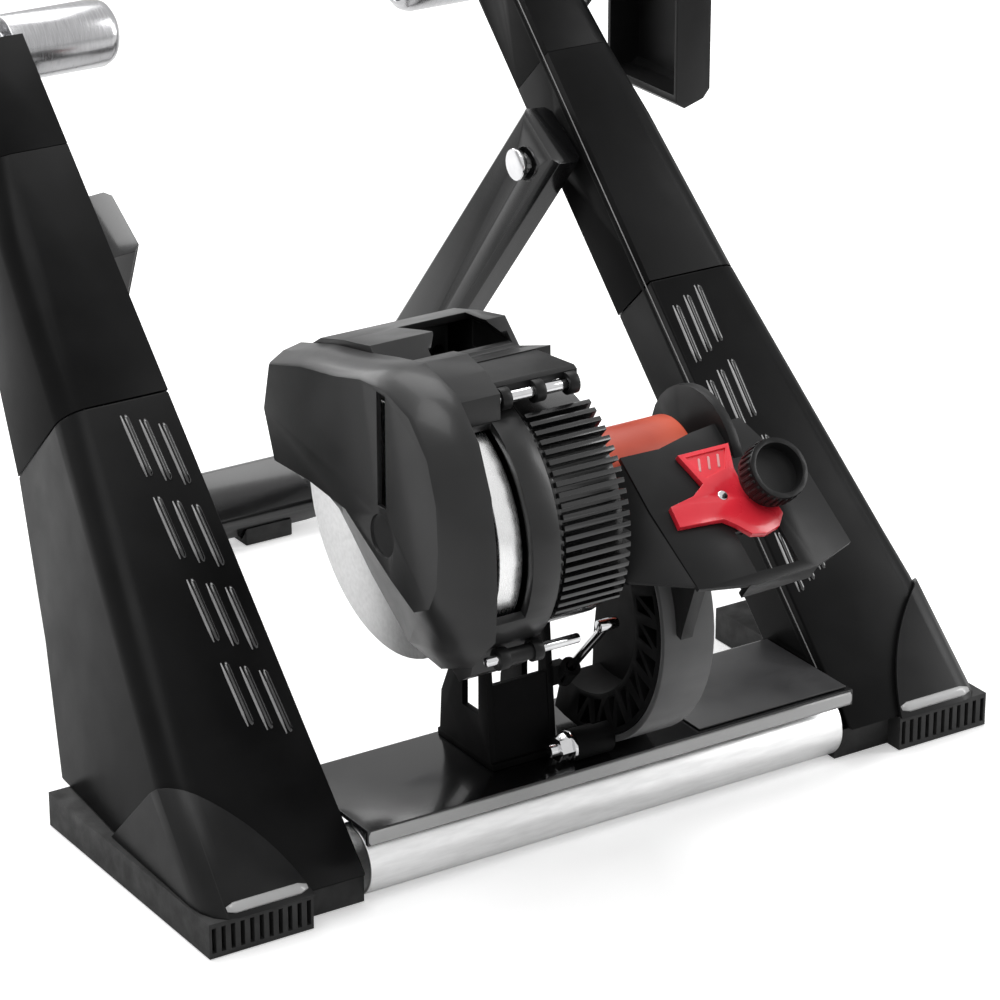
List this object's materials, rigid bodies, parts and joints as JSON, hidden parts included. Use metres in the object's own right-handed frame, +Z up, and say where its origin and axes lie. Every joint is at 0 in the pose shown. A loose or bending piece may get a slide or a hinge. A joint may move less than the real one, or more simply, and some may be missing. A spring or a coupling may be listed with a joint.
{
  "type": "wheel-on bike trainer",
  "caption": "Folding floor stand that clamps a bicycle rear axle and presses a braked roller unit with flywheel against the tyre",
  "frame": {"origin": "floor level under the middle of the overall box", "axes": "+X to the right clamp with its lever, +Y from the feet at the front to the rear bar, +Z up"},
  "size_m": [0.606, 0.6103, 0.4214],
  "materials": {
    "cover": "satin grey",
    "shell": "moulded black",
    "frame": "gloss black enamel",
    "rubber": "dull black",
    "pale": "light grey, satin",
    "steel": "fine turned",
    "chrome": "polished",
    "roller": "turned, coloured sleeve",
    "red": "bright red",
    "copper": "plain metal disc",
    "aluminium": "machined rim, polished",
    "label": "plain dark plate"
  },
  "bodies": {
    "stand": {"left_lower_cover": "cover", "right_lower_cover": "cover", "left_upper_cover": "cover", "right_upper_cover": "cover", "left_head_cover": "cover", "right_head_cover": "cover", "left_leg_tube": "frame", "right_leg_tube": "frame", "left_clamp_head": "steel", "right_clamp_head": "steel", "left_foot_pad": "rubber", "right_foot_pad": "rubber", "left_foot_cap": "shell", "right_foot_cap": "shell", "front_crossbar": "frame", "floor_tube": "pale", "label_plate": "label", "clamp_clevis": "steel", "lever_pin": "chrome", "left_frame_bolt": "chrome", "right_frame_bolt": "chrome", "guide_ring": "shell", "guide_band": "shell", "pivot_yoke": "frame", "unit_pivot_pin": "chrome", "stay_rod": "chrome", "mount_bolt": "chrome"},
    "rear": {"rear_frame": "frame", "left_rear_foot": "rubber", "right_rear_foot": "rubber"},
    "left_clamp": {"left_clamp_barrel": "steel", "left_clamp_cup": "steel"},
    "left_nut": {"left_adjuster": "shell"},
    "right_clamp": {"right_clamp_barrel": "steel", "right_clamp_cup": "steel"},
    "clamp_lever": {"quick_lever": "shell"},
    "unit": {"unit_left_cover": "shell", "inner_shield": "pale", "flywheel_guard": "shell", "brake_housing": "shell", "magnet_plate": "steel", "left_bearing": "steel", "right_bearing": "steel", "outer_bearing": "steel", "cable_hood": "cover", "cable_sockets": "shell", "upper_latch_pin": "chrome", "lower_latch_pin": "chrome", "upper_latch_keeper": "shell", "lower_latch_keeper": "shell", "roller_bracket": "shell", "lever_pivot": "chrome"},
    "rotor": {"rotor_shaft": "steel", "roller": "roller", "flywheel": "aluminium", "rotor_disc": "copper"},
    "pressure": {"tension_knob": "shell", "tension_screw": "chrome"},
    "release": {"release_lever": "red"}
  },
  "joints": [
    {"name": "rear_fold", "type": "hinge", "parent": "stand", "child": "rear", "pos_m": [0, 0.1001, 0.295], "axis": [1, 0, 0], "range_deg": [-66, 0]},
    {"name": "left_clamp_slide", "type": "slide", "parent": "stand", "child": "left_clamp", "axis": [1, 0, 0], "range_m": [-0.0048, 0.0048]},
    {"name": "left_nut_turn", "type": "hinge", "parent": "stand", "child": "left_nut", "pos_m": [-0.2268, 0.1851, 0.4004], "axis": [1, 0, 0], "range_deg": [-1080, 1080]},
    {"name": "right_clamp_slide", "type": "slide", "parent": "stand", "child": "right_clamp", "axis": [1, 0, 0], "range_m": [0, 0.0046]},
    {"name": "clamp_lever_throw", "type": "hinge", "parent": "stand", "child": "clamp_lever", "pos_m": [0.256, 0.1851, 0.4004], "axis": [0, -1, 0], "range_deg": [0, 90]},
    {"name": "unit_swing", "type": "hinge", "parent": "stand", "child": "unit", "pos_m": [0, -0.1799, 0.137], "axis": [1, 0, 0], "range_deg": [-30, 0]},
    {"name": "rotor_spin", "type": "hinge", "parent": "unit", "child": "rotor", "pos_m": [0, -0.2039, 0.217], "axis": [1, 0, 0], "continuous": true},
    {"name": "pressure_turn", "type": "hinge", "parent": "unit", "child": "pressure", "pos_m": [0.068, -0.2594, 0.2195], "axis": [0, -0.7757, 0.6311], "range_deg": [-720, 720]},
    {"name": "release_press", "type": "hinge", "parent": "unit", "child": "release", "pos_m": [0.04, -0.2626, 0.2171], "axis": [0, -0.6, 0.8], "range_deg": [0, 11], "stiffness_Nm_per_rad": 0.6, "springref_deg": -11.46}
  ],
  "couplings": [
    {"joint": "left_clamp_slide", "follows": "left_nut_turn", "m_per_rad": 0.00025},
    {"joint": "right_clamp_slide", "follows": "clamp_lever_throw", "m_per_rad": 0.002865}
  ]
}
